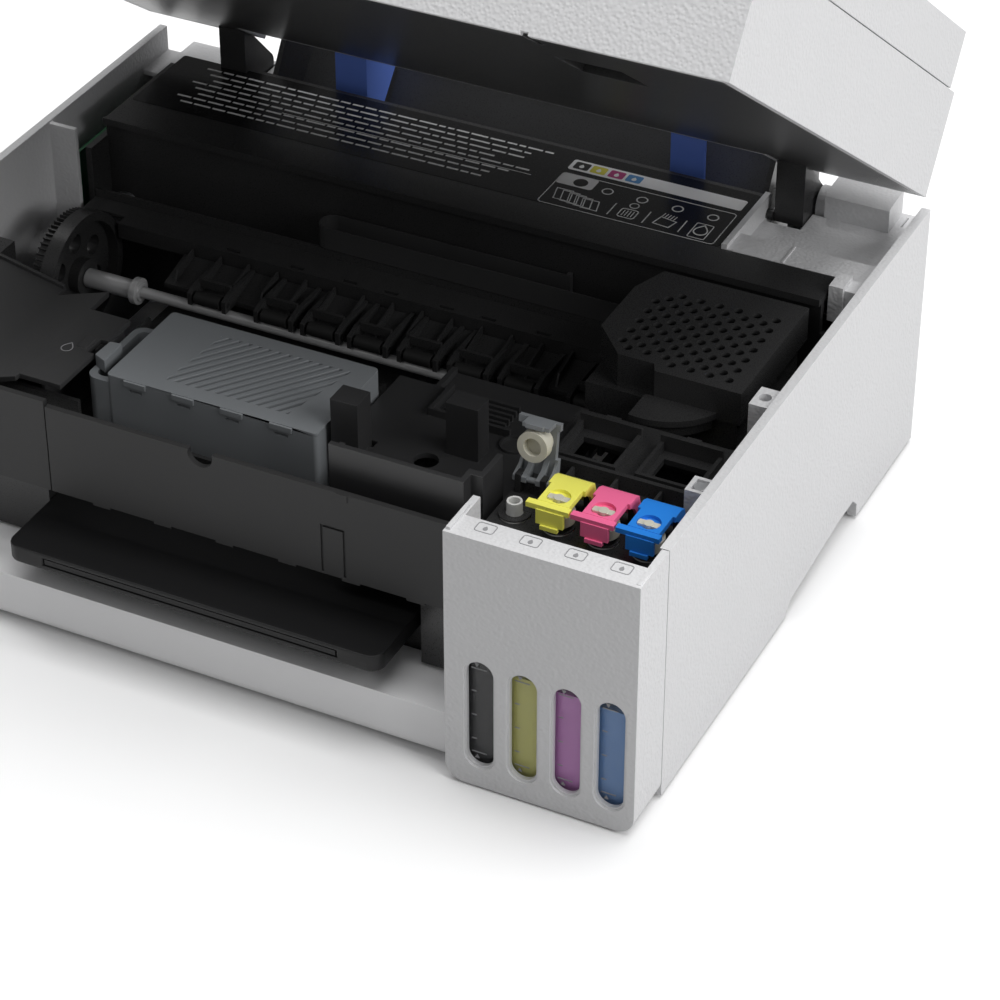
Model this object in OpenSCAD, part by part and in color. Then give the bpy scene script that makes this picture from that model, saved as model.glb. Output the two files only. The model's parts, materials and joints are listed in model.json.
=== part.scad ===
// Ink-tank inkjet printer, modelled with its scanner lid raised.
// X runs along the width, +Y to the back, +Z up. The feet stand on z = 0.
// Inside the modules Y is measured from the front face of the tank cover.

/* [Body] */
// Overall width of the casing
body_w = 375; // [372:1:380]
// Overall depth, from the tank cover to the back of the paper feeder
body_d = 347; // [345:1:352]
// Height of the casing rim that the scanner closes on
rim_z = 117; // [117:0.5:118]
// Depth of the side walls
side_d = 293; // [291:1:295]
// Thickness of the side walls
wall = 4; // [3:0.5:4]

/* [Ink tanks] */
// Width of the tank cover
tank_w = 79; // [78:0.5:80]
// Distance between neighbouring ink windows
window_pitch = 18; // [17.5:0.1:18.5]
// Angle of the open ink cap above its closed place
cap_open = 98; // [80:1:105]

/* [Scanner] */
// Angle that the scanner lid stands open
lid_open = 36; // [20:1:36]
// Height of the scanner casing
scanner_h = 45; // [44:1:46]
// Height of the document cover
cover_h = 24; // [22:1:24]

/* [Hidden] */
$fn = 48;

white = [0.91, 0.91, 0.92];
black = [0.11, 0.11, 0.115];
grey = [0.34, 0.35, 0.37];
dark = [0.19, 0.19, 0.20];
steel = [0.72, 0.73, 0.75];
cream = [0.80, 0.80, 0.72];
clear = [0.85, 0.87, 0.88];
blue = [0.24, 0.31, 0.65];
yellow = [0.96, 0.91, 0.24];
magenta = [0.92, 0.24, 0.41];
cyan = [0.20, 0.47, 0.84];

gap = 0.4;                        // clearance between parts that move
hx = body_w / 2;                  // outer face of a side wall
in_x = hx - wall;                 // inner face of a side wall
tank_x = hx - tank_w;             // left edge of the tank cover
seam_y = 25;                      // where the tank cover meets the side wall
strip_y = 8;                      // front face of the base strip
base_z = 1.5;                     // underside of the casing
panel_y = 24;                     // front face of the front panel
shelf_z = 24.7;                   // top of the base strip
ledge_z = 112.6;                  // top of the black rear ledge
ledge_y = 211.5;                  // front edge of the rear ledge
hinge_y = 295;                    // scanner hinge axis
hinge_z = 107.5;
lid_z = rim_z + 0.4;              // underside of the closed scanner
lid_d = 275.5;                    // back of the scanner's side lobes
notch_d = 255;                    // back of the scanner between the lobes
notch_x0 = -127;                  // the notch leaves room for the paper feeder
notch_x1 = 120.5;
cap_y = 58;                       // ink cap hinge axis
cap_z = 105;
nozzle_y = 43;
nozzle_top = 105.5;
nozzle_x = [for (i = [0:3]) 116.6 + i * 18.25];
feed_y = 161;                     // feed roller axis
feed_z = 64.8;
pinch_z = 70.7;
pinion_y = feed_y - 31.275 * sin(125);   // feed motor, meshed with the big gear
pinion_z = feed_z + 31.275 * cos(125);
roller_x = [-86, -53.5, -31, -8.5, 15, 38.4, 61.8, 93];
belt_z = 71;
belt_r = 5;
pulley_x = [-160, 169];
car_x0 = 98.6;                    // carriage, parked at the right
car_x1 = 168.2;
car_y0 = 137;
car_y1 = 206.5;
car_z = 112;
box_x0 = -68.3;                   // maintenance box
box_x1 = 27;
box_y0 = 52.5;
box_y1 = 104;
box_z = 102;

// ---------- shape helpers ----------
module bx(x0, x1, y0, y1, z0, z1) {
    translate([x0, y0, z0]) cube([x1 - x0, y1 - y0, z1 - z0]);
}
module xcyl(x0, x1, y, z, r) {
    translate([x0, y, z]) rotate([0, 90, 0]) cylinder(h = x1 - x0, r = r);
}
module ycyl(y0, y1, x, z, r) {
    translate([x, y1, z]) rotate([90, 0, 0]) cylinder(h = y1 - y0, r = r);
}
module zcyl(z0, z1, x, y, r) {
    translate([x, y, z0]) cylinder(h = z1 - z0, r = r);
}
// a (Y, Z) outline pushed along X
module along_x(x0, x1) {
    translate([x0, 0, 0]) rotate([90, 0, 90]) linear_extrude(x1 - x0) children();
}
// an (X, Z) outline pushed along Y
module along_y(y0, y1) {
    translate([0, y1, 0]) rotate([90, 0, 0]) linear_extrude(y1 - y0) children();
}
module rrect(x0, x1, y0, y1, r) {
    translate([x0 + r, y0]) square([x1 - x0 - 2 * r, y1 - y0]);
    translate([x0, y0 + r]) square([x1 - x0, y1 - y0 - 2 * r]);
    for (x = [x0 + r, x1 - r], y = [y0 + r, y1 - r]) translate([x, y]) circle(r);
}
module rbox(x0, x1, y0, y1, z0, z1, r) {
    translate([0, 0, z0]) linear_extrude(z1 - z0) rrect(x0, x1, y0, y1, r);
}
module stadium(x, z0, z1, r) {
    translate([x, z0 + r]) circle(r);
    translate([x, z1 - r]) circle(r);
    translate([x - r, z0 + r]) square([2 * r, z1 - z0 - 2 * r]);
}
// the raised scanner: children are drawn closed
module raised() {
    translate([0, hinge_y, hinge_z]) rotate([-lid_open, 0, 0])
        translate([0, -hinge_y, -hinge_z]) children();
}

// ---------- outer casing ----------
// finger recess in the bottom edge of a side wall
module grip_cut(x0, x1) {
    along_x(x0, x1)
        polygon([[149, 0], [149, 2.5], [154, 7], [207, 12.5], [222, 12.5], [227, 8], [227, 0]]);
}
// rounded front edge of the base strip, to a given depth
module strip_outline(depth) {
    translate([strip_y + 6, base_z + 6]) circle(6);
    translate([strip_y, base_z + 6]) square([depth, shelf_z - base_z - 6]);
    translate([strip_y + 6, base_z]) square([depth - 6, 12]);
}
module base_pan() color(white) difference() {
    union() {
        // front strip and floor are one bent section
        along_x(-hx, tank_x - gap) difference() {
            strip_outline(30);
            translate([strip_y + 2.5, base_z + 2.5]) square([28, shelf_z - base_z - 5]);
        }
        along_x(-hx, -hx + 2.5) strip_outline(16);
        bx(-in_x + 0.2, in_x - 0.2, 37, 289, base_z, base_z + 2.5);
        bx(tank_x - gap - 3, in_x - 0.2, 26, 37, base_z, base_z + 2.5);
        // upstands behind the finger recesses
        for (s = [-1, 1]) bx(s * 174 - 1, s * 174 + 1, 145, 232, base_z + 2.5, 16);
        // ribs that stiffen the floor
        for (x = [-110:55:110]) bx(x - 1, x + 1, 43, 286, base_z + 2.5, 9);
    }
    for (x = [-160, 160], y = [48, 268]) zcyl(0, 10, x, y, 3.05);
    // room for fingers behind the grip recesses
    for (x = [-190, 176]) bx(x, x + 14, 148, 228, 0, 5);
    // the side wall starts behind the end of the strip
    bx(-hx - 1, -in_x + 0.2, seam_y - 0.3, 40, 0, 30);
}
module left_cover() color(white) {
    difference() {
        bx(-hx, -in_x, seam_y, side_d, base_z, rim_z);
        grip_cut(-hx - 1, -in_x + 1);
    }
    // front corner that wraps the end of the base strip
    bx(-hx, -in_x, strip_y, seam_y, shelf_z + 0.3, rim_z);
    // inner return wall beside the mechanism
    bx(-in_x, -170.5, 193, 195.5, 20, rim_z - 1);
    bx(-in_x, -178.4, side_d - 3, side_d, base_z + 4, 104);
    // rear shelf, open where the hinge arm swings
    difference() {
        bx(-in_x, -129, 270.5, 302.6, 102.5, 105);
        bx(-151, -132, 272.4, 303, 100, 106);
        bx(-190, -174.6, side_d, 303, 100, 106);
    }
}
module rear_shelf() difference() {
    union() {
        // bracket that carries the end of the black ledge
        bx(118.5, in_x, 232.5, 247, ledge_z - 3, ledge_z);
        bx(145, 146, 232.5, 247, ledge_z, ledge_z + 0.4);
        bx(118.5, 121, 232.5, 280, 100, 114.6);
        // lower shelf
        bx(121, in_x, 247, side_d, 102.5, 105);
        bx(121, 174.6, side_d, 302.6, 102.5, 105);
        bx(121, in_x, 244.5, 247, 102.5, ledge_z - 3);
        // sloped cap over the hinge bracket
        along_x(143, 172) polygon([[286, 105], [286, 115.6], [288, 116.8], [302.6, 117.2], [302.6, 105]]);
    }
    // room for the hinge arm, its bracket and the stop stud
    bx(121.4, 137.8, 272.4, 303, 100, 106);
    bx(137, 142.9, 286.6, 303, 100, 106);
    xcyl(117, 125, 277, 106, 2.45);
}
module right_cover() color(white) {
    difference() {
        union() {
            bx(in_x, hx, seam_y + 0.4, side_d, base_z, rim_z);
            bx(178, in_x, side_d - 3, side_d, base_z + 4, 102);
            // screw boss, lid boss and lid clip along the rim
            bx(174.5, in_x, 67.8, 77.8, 96, 113);
            bx(175, in_x, 127.5, 140.5, 98, 115.5);
            bx(171.4, 177.5, 219, 230, 100, rim_z - 0.4);
            bx(177.5, in_x, 221, 230, 100, 114.5);
        }
        grip_cut(in_x - 1, hx + 1);
        bx(176.2, 182, 69.4, 76.2, 111, 114);
        zcyl(95, 112, 179.1, 72.8, 1.3);
        zcyl(97, 116, 179.2, 134, 2.6);
    }
    rear_shelf();
}
module rear_cover() color(white) difference() {
    union() {
        bx(-178, 178, 303, 306, base_z, 104);
        for (s = [-1, 1]) bx(s * 176.5 - 1.5, s * 176.5 + 1.5, side_d + 0.3, 303, base_z, 104);
        bx(-175, 175, 289.3, 303, base_z, base_z + 2.5);
        // hinge brackets
        for (x = [-150.5, 138.2]) along_x(x, x + 4.3) {
            polygon([[287, 60], [287, 102], [303, 102], [303, 60]]);
            translate([hinge_y, hinge_z]) circle(7);
            translate([hinge_y - 7, 100]) square([14, 7]);
        }
    }
    // paper feeder, power inlet and data socket
    bx(-127, 120.4, 302, 307, 37.5, 105);
    bx(140, 165, 302, 307, 20, 42);
    bx(-165, -150, 302, 307, 30, 44);
    for (x = [-150.5, 138.2]) xcyl(x - 1, x + 6, hinge_y, hinge_z, 3.05);
    for (i = [0:9]) bx(-120 + i * 12, -114 + i * 12, 302, 307, 12, 28);
}
module tank_outline(inset) difference() {
    rrect(tank_x + inset, hx - inset, 0.8 + inset, rim_z + 8, 8 - inset);
    translate([tank_x - 1, rim_z]) square([tank_w + 2, 10]);
}
module tank_cover() color(white) difference() {
    union() {
        // front wall with rounded lower corners, and the tube behind it
        along_y(0, 3) tank_outline(0);
        along_y(3, seam_y) difference() {
            tank_outline(0);
            tank_outline(3);
        }
        bx(tank_x, hx, 3, 12.5, rim_z - 3, rim_z);
        // end ribs on the top edge
        bx(tank_x + 0.6, tank_x + 2.4, 1.5, 18, rim_z, rim_z + 1.2);
        bx(hx - 2.4, hx - 0.6, 1.5, 10, rim_z, rim_z + 0.3);
    }
    for (i = [0:3]) {
        along_y(-1, 4) stadium(123 + i * window_pitch, 10.6, 60.2, 5.6);
        along_y(-1, 0.9) stadium(123 + i * window_pitch, 9.6, 61.2, 6.6);
    }
}
module feet() color(black) for (x = [-160, 160], y = [48, 268]) {
    zcyl(0, base_z, x, y, 8);
    zcyl(base_z, base_z + 2.5, x, y, 3);
}
module screws() color(steel) {
    zcyl(111, 112.6, 179.1, 72.8, 2.8);
    zcyl(99.6, 111, 179.1, 72.8, 1.25);
    // casing screws in the back wall
    for (x = [-140, -60, 60, 150]) ycyl(306, 307.6, x, 8, 3);
}

// ---------- frame and fixed mechanism ----------
module inner_frame() color(black) {
    // rear wall of the carriage bay and the ledge on top of it
    difference() {
        union() {
            bx(-168, 170.5, 214, 217, 26, ledge_z - 2.5);
            bx(170.5, 177.2, 214, 217, 26, 96);
        }
        bx(-118, 110, 213, 218, 40, 66);
        ycyl(213, 218, pulley_x[0], belt_z, 6);
    }
    bx(-168, 170.5, ledge_y, 232, ledge_z - 2.5, ledge_z);
    difference() {
        union() {
            bx(-168, 118.1, 232, 270, ledge_z - 2.5, ledge_z);
            bx(-126.5, 118.1, 270, 281, ledge_z - 2.5, ledge_z);
        }
        bx(-146.2, -131.8, 266, 271, ledge_z - 4, ledge_z + 1);
    }
    // raised rim along the front of the ledge
    bx(-168, 170.5, ledge_y, ledge_y + 1.6, ledge_z, ledge_z + 0.8);
    // stud of the belt idler
    ycyl(202.4, 214, pulley_x[1], belt_z, 1.45);
    // lug with the stop beside the right hinge arm
    bx(114.5, 118.1, 273.5, 279.4, 104.6, ledge_z - 2.5);
    xcyl(118.1, 124, 277, 106, 2.4);
    // side plates
    difference() {
        union() {
            bx(-170.4, -167.4, 60, 137, 4.2, 91);
            bx(-170.4, -167.4, 137, 200, 4.2, 60);
            bx(-170.4, -167.4, 154.5, 167.5, 60, 70.8);
            bx(-170.4, -167.4, 200, 270, 4.2, 104);
            // shelf from the side plate to the outer wall
            bx(-183.2, -170.4, 60, 137, 88.6, 91);
        }
        xcyl(-171, -167, feed_y, feed_z, 3.55);
        bx(-171, -167, 216.9, 262, 40, 90);
    }
    bx(-170.4, -167.4, 36, 60, 25, 59);
    bx(-170.4, -167.4, 38.3, 60, 4.2, 25.2);
    difference() {
        bx(177, 180, 118, 217, 16, 96);
        bx(176, 181, 140, 190, 20, 60);
        xcyl(176, 181, feed_y, feed_z, 2.55);
    }
    // floor beam and the housing round the output slot
    bx(-167.4, 106, 39, 42, 4.2, 36);
    bx(-167.4, -92.5, 36, 39, 26, 59);
    bx(83, 106, 30, 39, 26, 59);
    for (x = [-92.5, 80.3]) {
        bx(x, x + 3.2, 36, 59.6, 30, 58);
        bx(x, x + 3.2, 59.6, 140, 30, 46.4);
    }
    // guides under the tray
    for (s = [-75, 65]) bx(s, s + 4, 42, 140, 4.2, 37.4);
    // bay for the maintenance box
    bx(-121.6, 42.6, 48, 107, 63, 65.6);
    bx(-70.5, 28.8, 105, 107, 65.6, 84);
    bx(-121.6, -79.8, 48, 50, 65.6, 88);
    bx(-79.8, 42.6, 48, 50, 65.6, 78);
    bx(-121.6, -118.8, 39, 107, 26, 65.6);
}
module front_panel() color(dark) {
    difference() {
        union() {
            bx(-79, 106.4, panel_y, panel_y + 2.6, 60, 100.3);
            bx(-in_x + 0.3, -79.4, panel_y, panel_y + 2.6, 60, 102.6);
            // drip teeth along the lower edge
            for (i = [0:5]) bx(-60 + i * 28, -52 + i * 28, panel_y, panel_y + 2.6, 59, 60);
        }
        ycyl(panel_y - 1, panel_y + 4, -8.7, 98.8, 5.4);
        // upright grip slot
        for (x = [43.5, 53.2]) bx(x, x + 0.9, panel_y - 1, panel_y + 0.8, 61, 83.2);
        bx(43.5, 54.1, panel_y - 1, panel_y + 0.8, 82.4, 83.4);
    }
    bx(51.2, 55.8, panel_y - 0.6, panel_y, 97, 100.3);
    // tie flanges back to the frame
    for (x = [-84, 101.5]) bx(x, x + 3, panel_y + 2.6, 35, 62, 90);
    // strap that joins the two halves
    bx(-84, -74, panel_y + 2.6, panel_y + 4.6, 62, 96);
}
module service_cover() color(dark) {
    // flat plate with a latch step, then the plate that slopes down to the wall
    difference() {
        bx(-98.6, -79.4, 36.5, 89.6, 100.5, 103);
        bx(-83, -79, 62, 72, 99, 104);
    }
    bx(-88, -84, 63, 71, 103, 103.8);
    along_y(34, 104) polygon([[-124, 92], [-124, 94.5], [-98.6, 103], [-98.6, 100.5]]);
    along_y(34, 110) polygon([[-160, 100], [-160, 102.5], [-124, 94.5], [-124, 92]]);
    bx(-166.8, -160, 34, 110, 100, 102.5);
    bx(-124, -122, 34, 104, 62, 93.6);
    bx(-98.6, -96.6, 50.4, 88, 66, 100.5);
}
module station_tray() color(black) {
    difference() {
        union() {
            bx(43, 104, 42.4, 117.6, 89, 91.5);
            bx(43, 100.4, 33, 35.4, 59, 114.8);
            bx(98, 105.5, 39, 42.4, 62, 114.8);
            bx(98, 100.4, 35.4, 39, 62, 114.8);
            bx(43, 45.4, 35.4, 42.4, 62, 110);
            bx(43, 98, 35.4, 42.4, 89, 91.5);
            bx(28.8, 43, 72, 117.6, 89, 91.5);
            // deeper step in front of the carriage, and the side wall
            bx(43, 104, 115.2, 117.6, 84, 89);
            bx(43, 104, 117.6, 136, 84, 86.5);
            bx(43, 45.4, 42.4, 136, 66, 89);
            bx(103.1, 105.5, 42.4, 56, 80, 114.8);
        }
        zcyl(88, 93, 65.6, 69.2, 5);
    }
    // hollow posts
    difference() {
        bx(29.5, 41.5, 59, 70, 65.6, 115.6);
        bx(31.5, 39.5, 61, 68, 65, 113.6);
    }
    bx(41.5, 46, 61, 68, 89, 91.5);
    difference() {
        bx(70.5, 84.5, 76.5, 86, 91.5, 115.6);
        bx(72.5, 82.5, 78.5, 84, 90, 113.6);
    }
    difference() {
        zcyl(91.5, 92.7, 92, 93, 6);
        zcyl(91, 93, 92, 93, 4.9);
    }
    // ribbed pad at the back of the tray
    bx(52, 54, 97, 117, 91.5, 95);
    bx(54, 88, 97, 98.6, 91.5, 95);
    for (i = [0:4]) bx(57, 84, 101 + i * 3.2, 102.4 + i * 3.2, 91.5, 94.2);
}
module platen() color(black) {
    bx(-118, 96, 60, 212, 46.8, 49.4);
    bx(-118, 96, 130, 154, 49.4, 53);
    for (i = [0:23]) bx(-114 + i * 8.8, -112.6 + i * 8.8, 129, 155, 53, 57.2);
    // end plates that carry the eject roller
    for (x = [-118, 94]) difference() {
        bx(x, x + 2, 60, 124, 49.4, 62);
        xcyl(x - 1, x + 3, 118, 58, 2.05);
    }
}
module guide_rail() color(black) difference() {
    union() {
        along_x(-167, 176.6) polygon([[184.4, 72.6], [184.4, 80], [200, 80], [200, 84],
            [201.4, 84], [201.4, 78.6], [185.8, 78.6], [185.8, 72.6]]);
        for (x = [-167, 174.6]) bx(x, x + 2, 185.8, 201.4, 40, 78.6);
    }
    // clearance for the feed gear
    bx(-161.6, -146, 184, 190.6, 71, 81);
    for (x = [-89.3, -57.9, -32.1, -12.4, 14, 33.7, 59.4]) bx(x - 3.5, x + 3.5, 185.9, 187.7, 77, 81);
}
// bracket that holds one pinch roller
module roller_arm(x) {
    for (s = [-1, 1]) difference() {
        along_x(x + s * 8.4 - 1, x + s * 8.4 + 1)
            polygon([[157.5, 67.6], [157.5, 73.4], [164, 75.2], [183.6, 75.2], [183.6, 72.4], [164.5, 67.6]]);
        xcyl(x + s * 8.4 - 2, x + s * 8.4 + 2, 160, pinch_z, 1.25);
    }
    bx(x - 7.4, x + 7.4, 165.4, 167, 72.4, 76.4);
}
module paper_guide() color(black) {
    along_x(-112, 97.5) polygon([[166, 69.2], [183.6, 74], [183.6, 71.8], [166, 67]]);
    for (x = roller_x) roller_arm(x);
    for (i = [0:14]) along_x(-108 + i * 14, -107 + i * 14)
        polygon([[167.2, 69.3], [183.6, 73.8], [183.6, 77.6], [170, 74.6]]);
}
module tank_deck() color(black) difference() {
    union() {
        bx(108.6, 183, 25.4, 118, 96.5, 99);
        bx(112, 184, 13, 25.4, 96.5, 99);
        // posts that carry the cap hinges, and pockets behind them
        for (x = nozzle_x, s = [-5.2, 5.2]) bx(x + s - 1.1, x + s + 1.1, cap_y - 2, cap_y + 2, 99, 107.4);
        bx(108.6, 172.8, 75, 77, 99, 105.5);
        for (i = [1:3]) bx(nozzle_x[i] - 9.7, nozzle_x[i] - 8.5, 61.4, 75, 99, 103.5);
        // latch frames
        for (x = [114, 148]) {
            bx(x, x + 26, 82, 83.6, 99, 103);
            bx(x, x + 26, 106, 107.6, 99, 106);
            bx(x, x + 1.6, 83.6, 106, 99, 103);
            bx(x + 24.4, x + 26, 83.6, 106, 99, 103);
            bx(x + 10, x + 16, 107.6, 109.4, 103, 106);
        }
    }
    for (x = nozzle_x) zcyl(96, 100, x, nozzle_y, 6.2);
    for (x = nozzle_x, s = [-5.2, 5.2]) xcyl(x + s - 2, x + s + 2, cap_y, cap_z, 1.25);
    for (x = [118, 152]) bx(x, x + 18, 87, 101, 96, 100);
    // notch round the screw boss of the side wall
    bx(173.8, 184, 67.2, 78.4, 96, 100);
}
module ink_tanks() color(clear) for (i = [0:3]) {
    x0 = 112.6 + i * window_pitch;
    x1 = x0 + (i == 3 ? 16.4 : 17.6);
    difference() {
        union() {
            bx(x0, x1, 3.4, 96, 6, 90);
            // neck up to the filler nozzle
            zcyl(90, 96, nozzle_x[i], nozzle_y, 4);
        }
        bx(x0 + 1.3, x1 - 1.3, 4.7, 94.7, 7.3, 88.7);
        zcyl(88, 97, nozzle_x[i], nozzle_y, 2.6);
    }
}
module filler_nozzles() color(grey) for (x = nozzle_x) difference() {
    union() {
        zcyl(96, 99.6, x, nozzle_y, 5.8);
        zcyl(99.6, nozzle_top, x, nozzle_y, 3.1);
    }
    zcyl(95, 109, x, nozzle_y, 2.1);
}
module main_board() color([0.10, 0.36, 0.22]) {
    bx(-178, -176.4, 202, 286, 14, 98);
    bx(-176.4, -174, 214, 236, 30, 52);
    bx(-176.4, -173.6, 245, 262, 60, 78);
    // data socket facing the back
    difference() {
        bx(-164.6, -150.4, 286, 304.5, 30.4, 43.6);
        bx(-162.4, -152.6, 294, 306, 32.4, 41.6);
    }
    bx(-176.4, -164.6, 279, 290, 32, 42);
}
module power_unit() color(dark) {
    bx(128, 172, 222, 286, 8, 58);
    difference() {
        bx(140.3, 164.7, 286, 305.4, 20.3, 41.7);
        bx(144, 161, 294, 307, 25, 37);
    }
}
module carriage_motor() color(steel) {
    ycyl(217, 247, pulley_x[0], belt_z, 12);
    ycyl(202.4, 217, pulley_x[0], belt_z, 1.45);
}
module feed_motor() color(steel) {
    xcyl(-146.4, -122, pinion_y, pinion_z, 13);
    bx(-146.4, -144, pinion_y - 4, pinion_y + 4, 4.2, pinion_z - 12);
}
module cap_station() color(dark) {
    difference() {
        bx(106, 166, 124, 156, 42, 56.5);
        bx(110, 162, 128, 154, 46, 58);
    }
    bx(112, 122, 130, 152, 46, 58.8);
    bx(100, 172, 120, 160, 38, 42);
    for (x = [100, 170]) bx(x, x + 2, 120, 160, 4.2, 38);
}
module feeder_housing() color(black) {
    back_y = body_d;
    // sloped paper support with a back wall
    along_x(-124, 117.4) polygon([[277, 60], [338, 131], [back_y, 131], [back_y, 38],
        [back_y - 3, 38], [back_y - 3, 128], [339.5, 128], [279.2, 58]]);
    // cheeks that carry the pickup shaft
    for (x = [-124, 114.9]) difference() {
        along_x(x, x + 2.5) polygon([[284, 108], [268, 96], [268, 66], [279.2, 58], [290, 38],
            [back_y, 38], [back_y, 136], [302, 136]]);
        xcyl(x - 1, x + 4, 275, 80, 3.05);
    }
    bx(-121.5, 114.9, 284, 286, 98, 108);
    bx(-121.5, 114.9, 306.4, back_y - 3, 38, 40.5);
    // rack that the edge guides run on
    bx(-118, 110, 320.4, 322.4, 108, 115);
}
module timing_belt() color(black) difference() {
    along_y(203.4, 207.4) union() {
        for (x = pulley_x) translate([x, belt_z]) circle(belt_r + 1.5);
        translate([pulley_x[0], belt_z - belt_r - 1.5]) square([pulley_x[1] - pulley_x[0], 2 * belt_r + 3]);
    }
    along_y(203, 208) union() {
        for (x = pulley_x) translate([x, belt_z]) circle(belt_r + 0.4);
        translate([pulley_x[0], belt_z - belt_r - 0.4]) square([pulley_x[1] - pulley_x[0], 2 * belt_r + 0.8]);
    }
}
// flat cable: out of the wall, round a loop, and back to the carriage
module ribbon_cable() color(black) {
    t = 0.5;
    bx(-50, 60, 211.2 - t, 211.2, 84.6, 95);
    bx(-50, 97.8, 199.4, 199.4 + t, 84.6, 95);
    translate([-50, 205.3, 84.6]) rotate([0, 0, 90]) rotate_extrude(angle = 180)
        translate([5.4, 0]) square([t, 10.4]);
    bx(58, 60, 211.2, 213.8, 84.6, 95);
}

// ---------- carriage ----------
module carriage_body() color(black) {
    bx(100.6, 166.2, 139, 182, 82, 97);
    bx(100.6, 166.2, 182, 202, 84.6, 97);
    // walls that hold the print head
    bx(106, 108, 140, 156, 62, 82);
    bx(160, 162, 140, 156, 62, 82);
    // slide shoes on the rail and the belt clamp
    for (x = [104, 154]) bx(x, x + 8, 187, 198, 80.4, 84.6);
    bx(120, 140, 202, 206, 78.2, 97);
}
function hole_here(x, y) = !(y > 189 && x < 118) && !(y > 185 && x < 113) && !(y < 146 && x < 133);
module carriage_cover() color(black) {
    difference() {
        translate([0, 0, 97]) linear_extrude(car_z - 97) polygon([[car_x0, 158], [car_x0, 190],
            [104.6, car_y1], [car_x1, car_y1], [car_x1, car_y0], [131.3, car_y0],
            [129, 141.7], [113.4, 141.7]]);
        translate([0, 0, 96]) linear_extrude(car_z - 97.8) polygon([[car_x0 + 2, 159], [car_x0 + 2, 189],
            [106, car_y1 - 2], [car_x1 - 2, car_y1 - 2], [car_x1 - 2, car_y0 + 2], [132, car_y0 + 2],
            [130, 143.7], [114.4, 143.7]]);
        for (i = [0:12], j = [0:12]) {
            x = 110.8 + i * 4.1;
            y = 143.8 + j * 4;
            if ((i + j) % 2 == 0 && hole_here(x, y)) zcyl(car_z - 3, car_z + 1, x, y, 1.9);
        }
        // window for the flat cable
        bx(97, 103, 196, 203, 90, 99);
    }
    // half-round joint cover at the front, in two layers
    for (l = [[97.4, 100.2, 28.4], [92.4, 97.4, 26.8]]) translate([0, 0, l[0]]) linear_extrude(l[1] - l[0])
        intersection() {
            translate([132.5, 149]) circle(l[2]);
            translate([127.5, 110]) square([40, car_y0 - 110]);
        }
}
module print_head() color(dark) {
    bx(109, 159, 141, 155.6, 64, 81.6);
    bx(114, 154, 142.6, 154, 61, 64);
}
module drive_pulley() color(steel) difference() {
    union() {
        ycyl(203, 207.8, pulley_x[0], belt_z, belt_r);
        ycyl(207.8, 209, pulley_x[0], belt_z, belt_r + 2);
    }
    ycyl(202, 210, pulley_x[0], belt_z, 1.5);
}
module idler_pulley() color(grey) difference() {
    union() {
        ycyl(203, 207.8, pulley_x[1], belt_z, belt_r);
        ycyl(207.8, 209, pulley_x[1], belt_z, belt_r + 2);
    }
    ycyl(202, 210, pulley_x[1], belt_z, 1.5);
}

// ---------- paper transport ----------
// one narrow tooth on a shaft along X, at an angle from straight up
module gear_tooth(x0, x1, y, z, a, r0, r1) {
    translate([x0, y, z]) rotate([a, 0, 0]) rotate([90, 0, 90]) linear_extrude(x1 - x0)
        polygon([[-0.42, r0], [-0.22, r1], [0.22, r1], [0.42, r0]]);
}
module feed_roller() color(dark) {
    // plain rod, and the stepped sleeve fixed on its left end
    xcyl(-171.6, 179, feed_y, feed_z, 2.5);
    difference() {
        union() {
            xcyl(-147.6, -120, feed_y, feed_z, 4.2);
            xcyl(-124, -121, feed_y, feed_z, 6);
            xcyl(-171.6, -147.6, feed_y, feed_z, 3.5);
        }
        xcyl(-172, -119, feed_y, feed_z, 2.6);
    }
}
module feed_gear() color(black) {
    difference() {
        union() {
            xcyl(-155, -148, feed_y, feed_z, 29);
            xcyl(-159.6, -155, feed_y, feed_z, 26.9);
            for (i = [0:71]) gear_tooth(-159.6, -155, feed_y, feed_z, i * 5, 26.5, 28.5);
        }
        xcyl(-153, -147, feed_y, feed_z, 25);
        xcyl(-160, -147, feed_y, feed_z, 3.55);
        for (i = [0:5]) translate([0, feed_y, feed_z]) rotate([i * 60, 0, 0]) xcyl(-161, -150, 0, 15.5, 4.6);
    }
    difference() {
        xcyl(-153, -148, feed_y, feed_z, 8);
        xcyl(-154, -147, feed_y, feed_z, 3.55);
    }
}
module motor_pinion() color(steel) {
    difference() {
        xcyl(-160, -155.4, pinion_y, pinion_z, 2.7);
        xcyl(-161, -154, pinion_y, pinion_z, 1);
    }
    for (i = [0:8]) gear_tooth(-160, -155.4, pinion_y, pinion_z, 5 + i * 40, 2.5, 4.15);
    xcyl(-160, -146.8, pinion_y, pinion_z, 1);
}
module pinch_rollers() color(dark) for (x = roller_x) {
    xcyl(x - 6.2, x + 6.2, 160, pinch_z, 3);
    xcyl(x - 9.2, x + 9.2, 160, pinch_z, 1.2);
}
module eject_roller() color(dark) {
    xcyl(-118.3, 96.3, 118, 58, 2);
    for (i = [0:7]) xcyl(-104 + i * 26, -96 + i * 26, 118, 58, 4.6);
}
module pickup_roller() color([0.25, 0.25, 0.26]) {
    xcyl(-123.6, 117, 275, 80, 3);
    difference() {
        xcyl(-25, 15, 275, 80, 12.6);
        xcyl(-26, 16, 275, 80, 3);
    }
}
module edge_guide(x0, s) {
    // a plate along the sheet's edge with a front flange
    x1 = x0 + s * 16;
    bx(min(x0, x1), max(x0, x1), 289.4, 291.6, 94, 146);
    along_x(min(x0, x0 + s * 2), max(x0, x0 + s * 2))
        polygon([[291.6, 80.6], [291.6, 146], [318, 128], [318, 111.4]]);
}
module edge_guide_right() color(blue) edge_guide(70, 1);
module edge_guide_left() color(blue) edge_guide(-78, -1);
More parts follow.
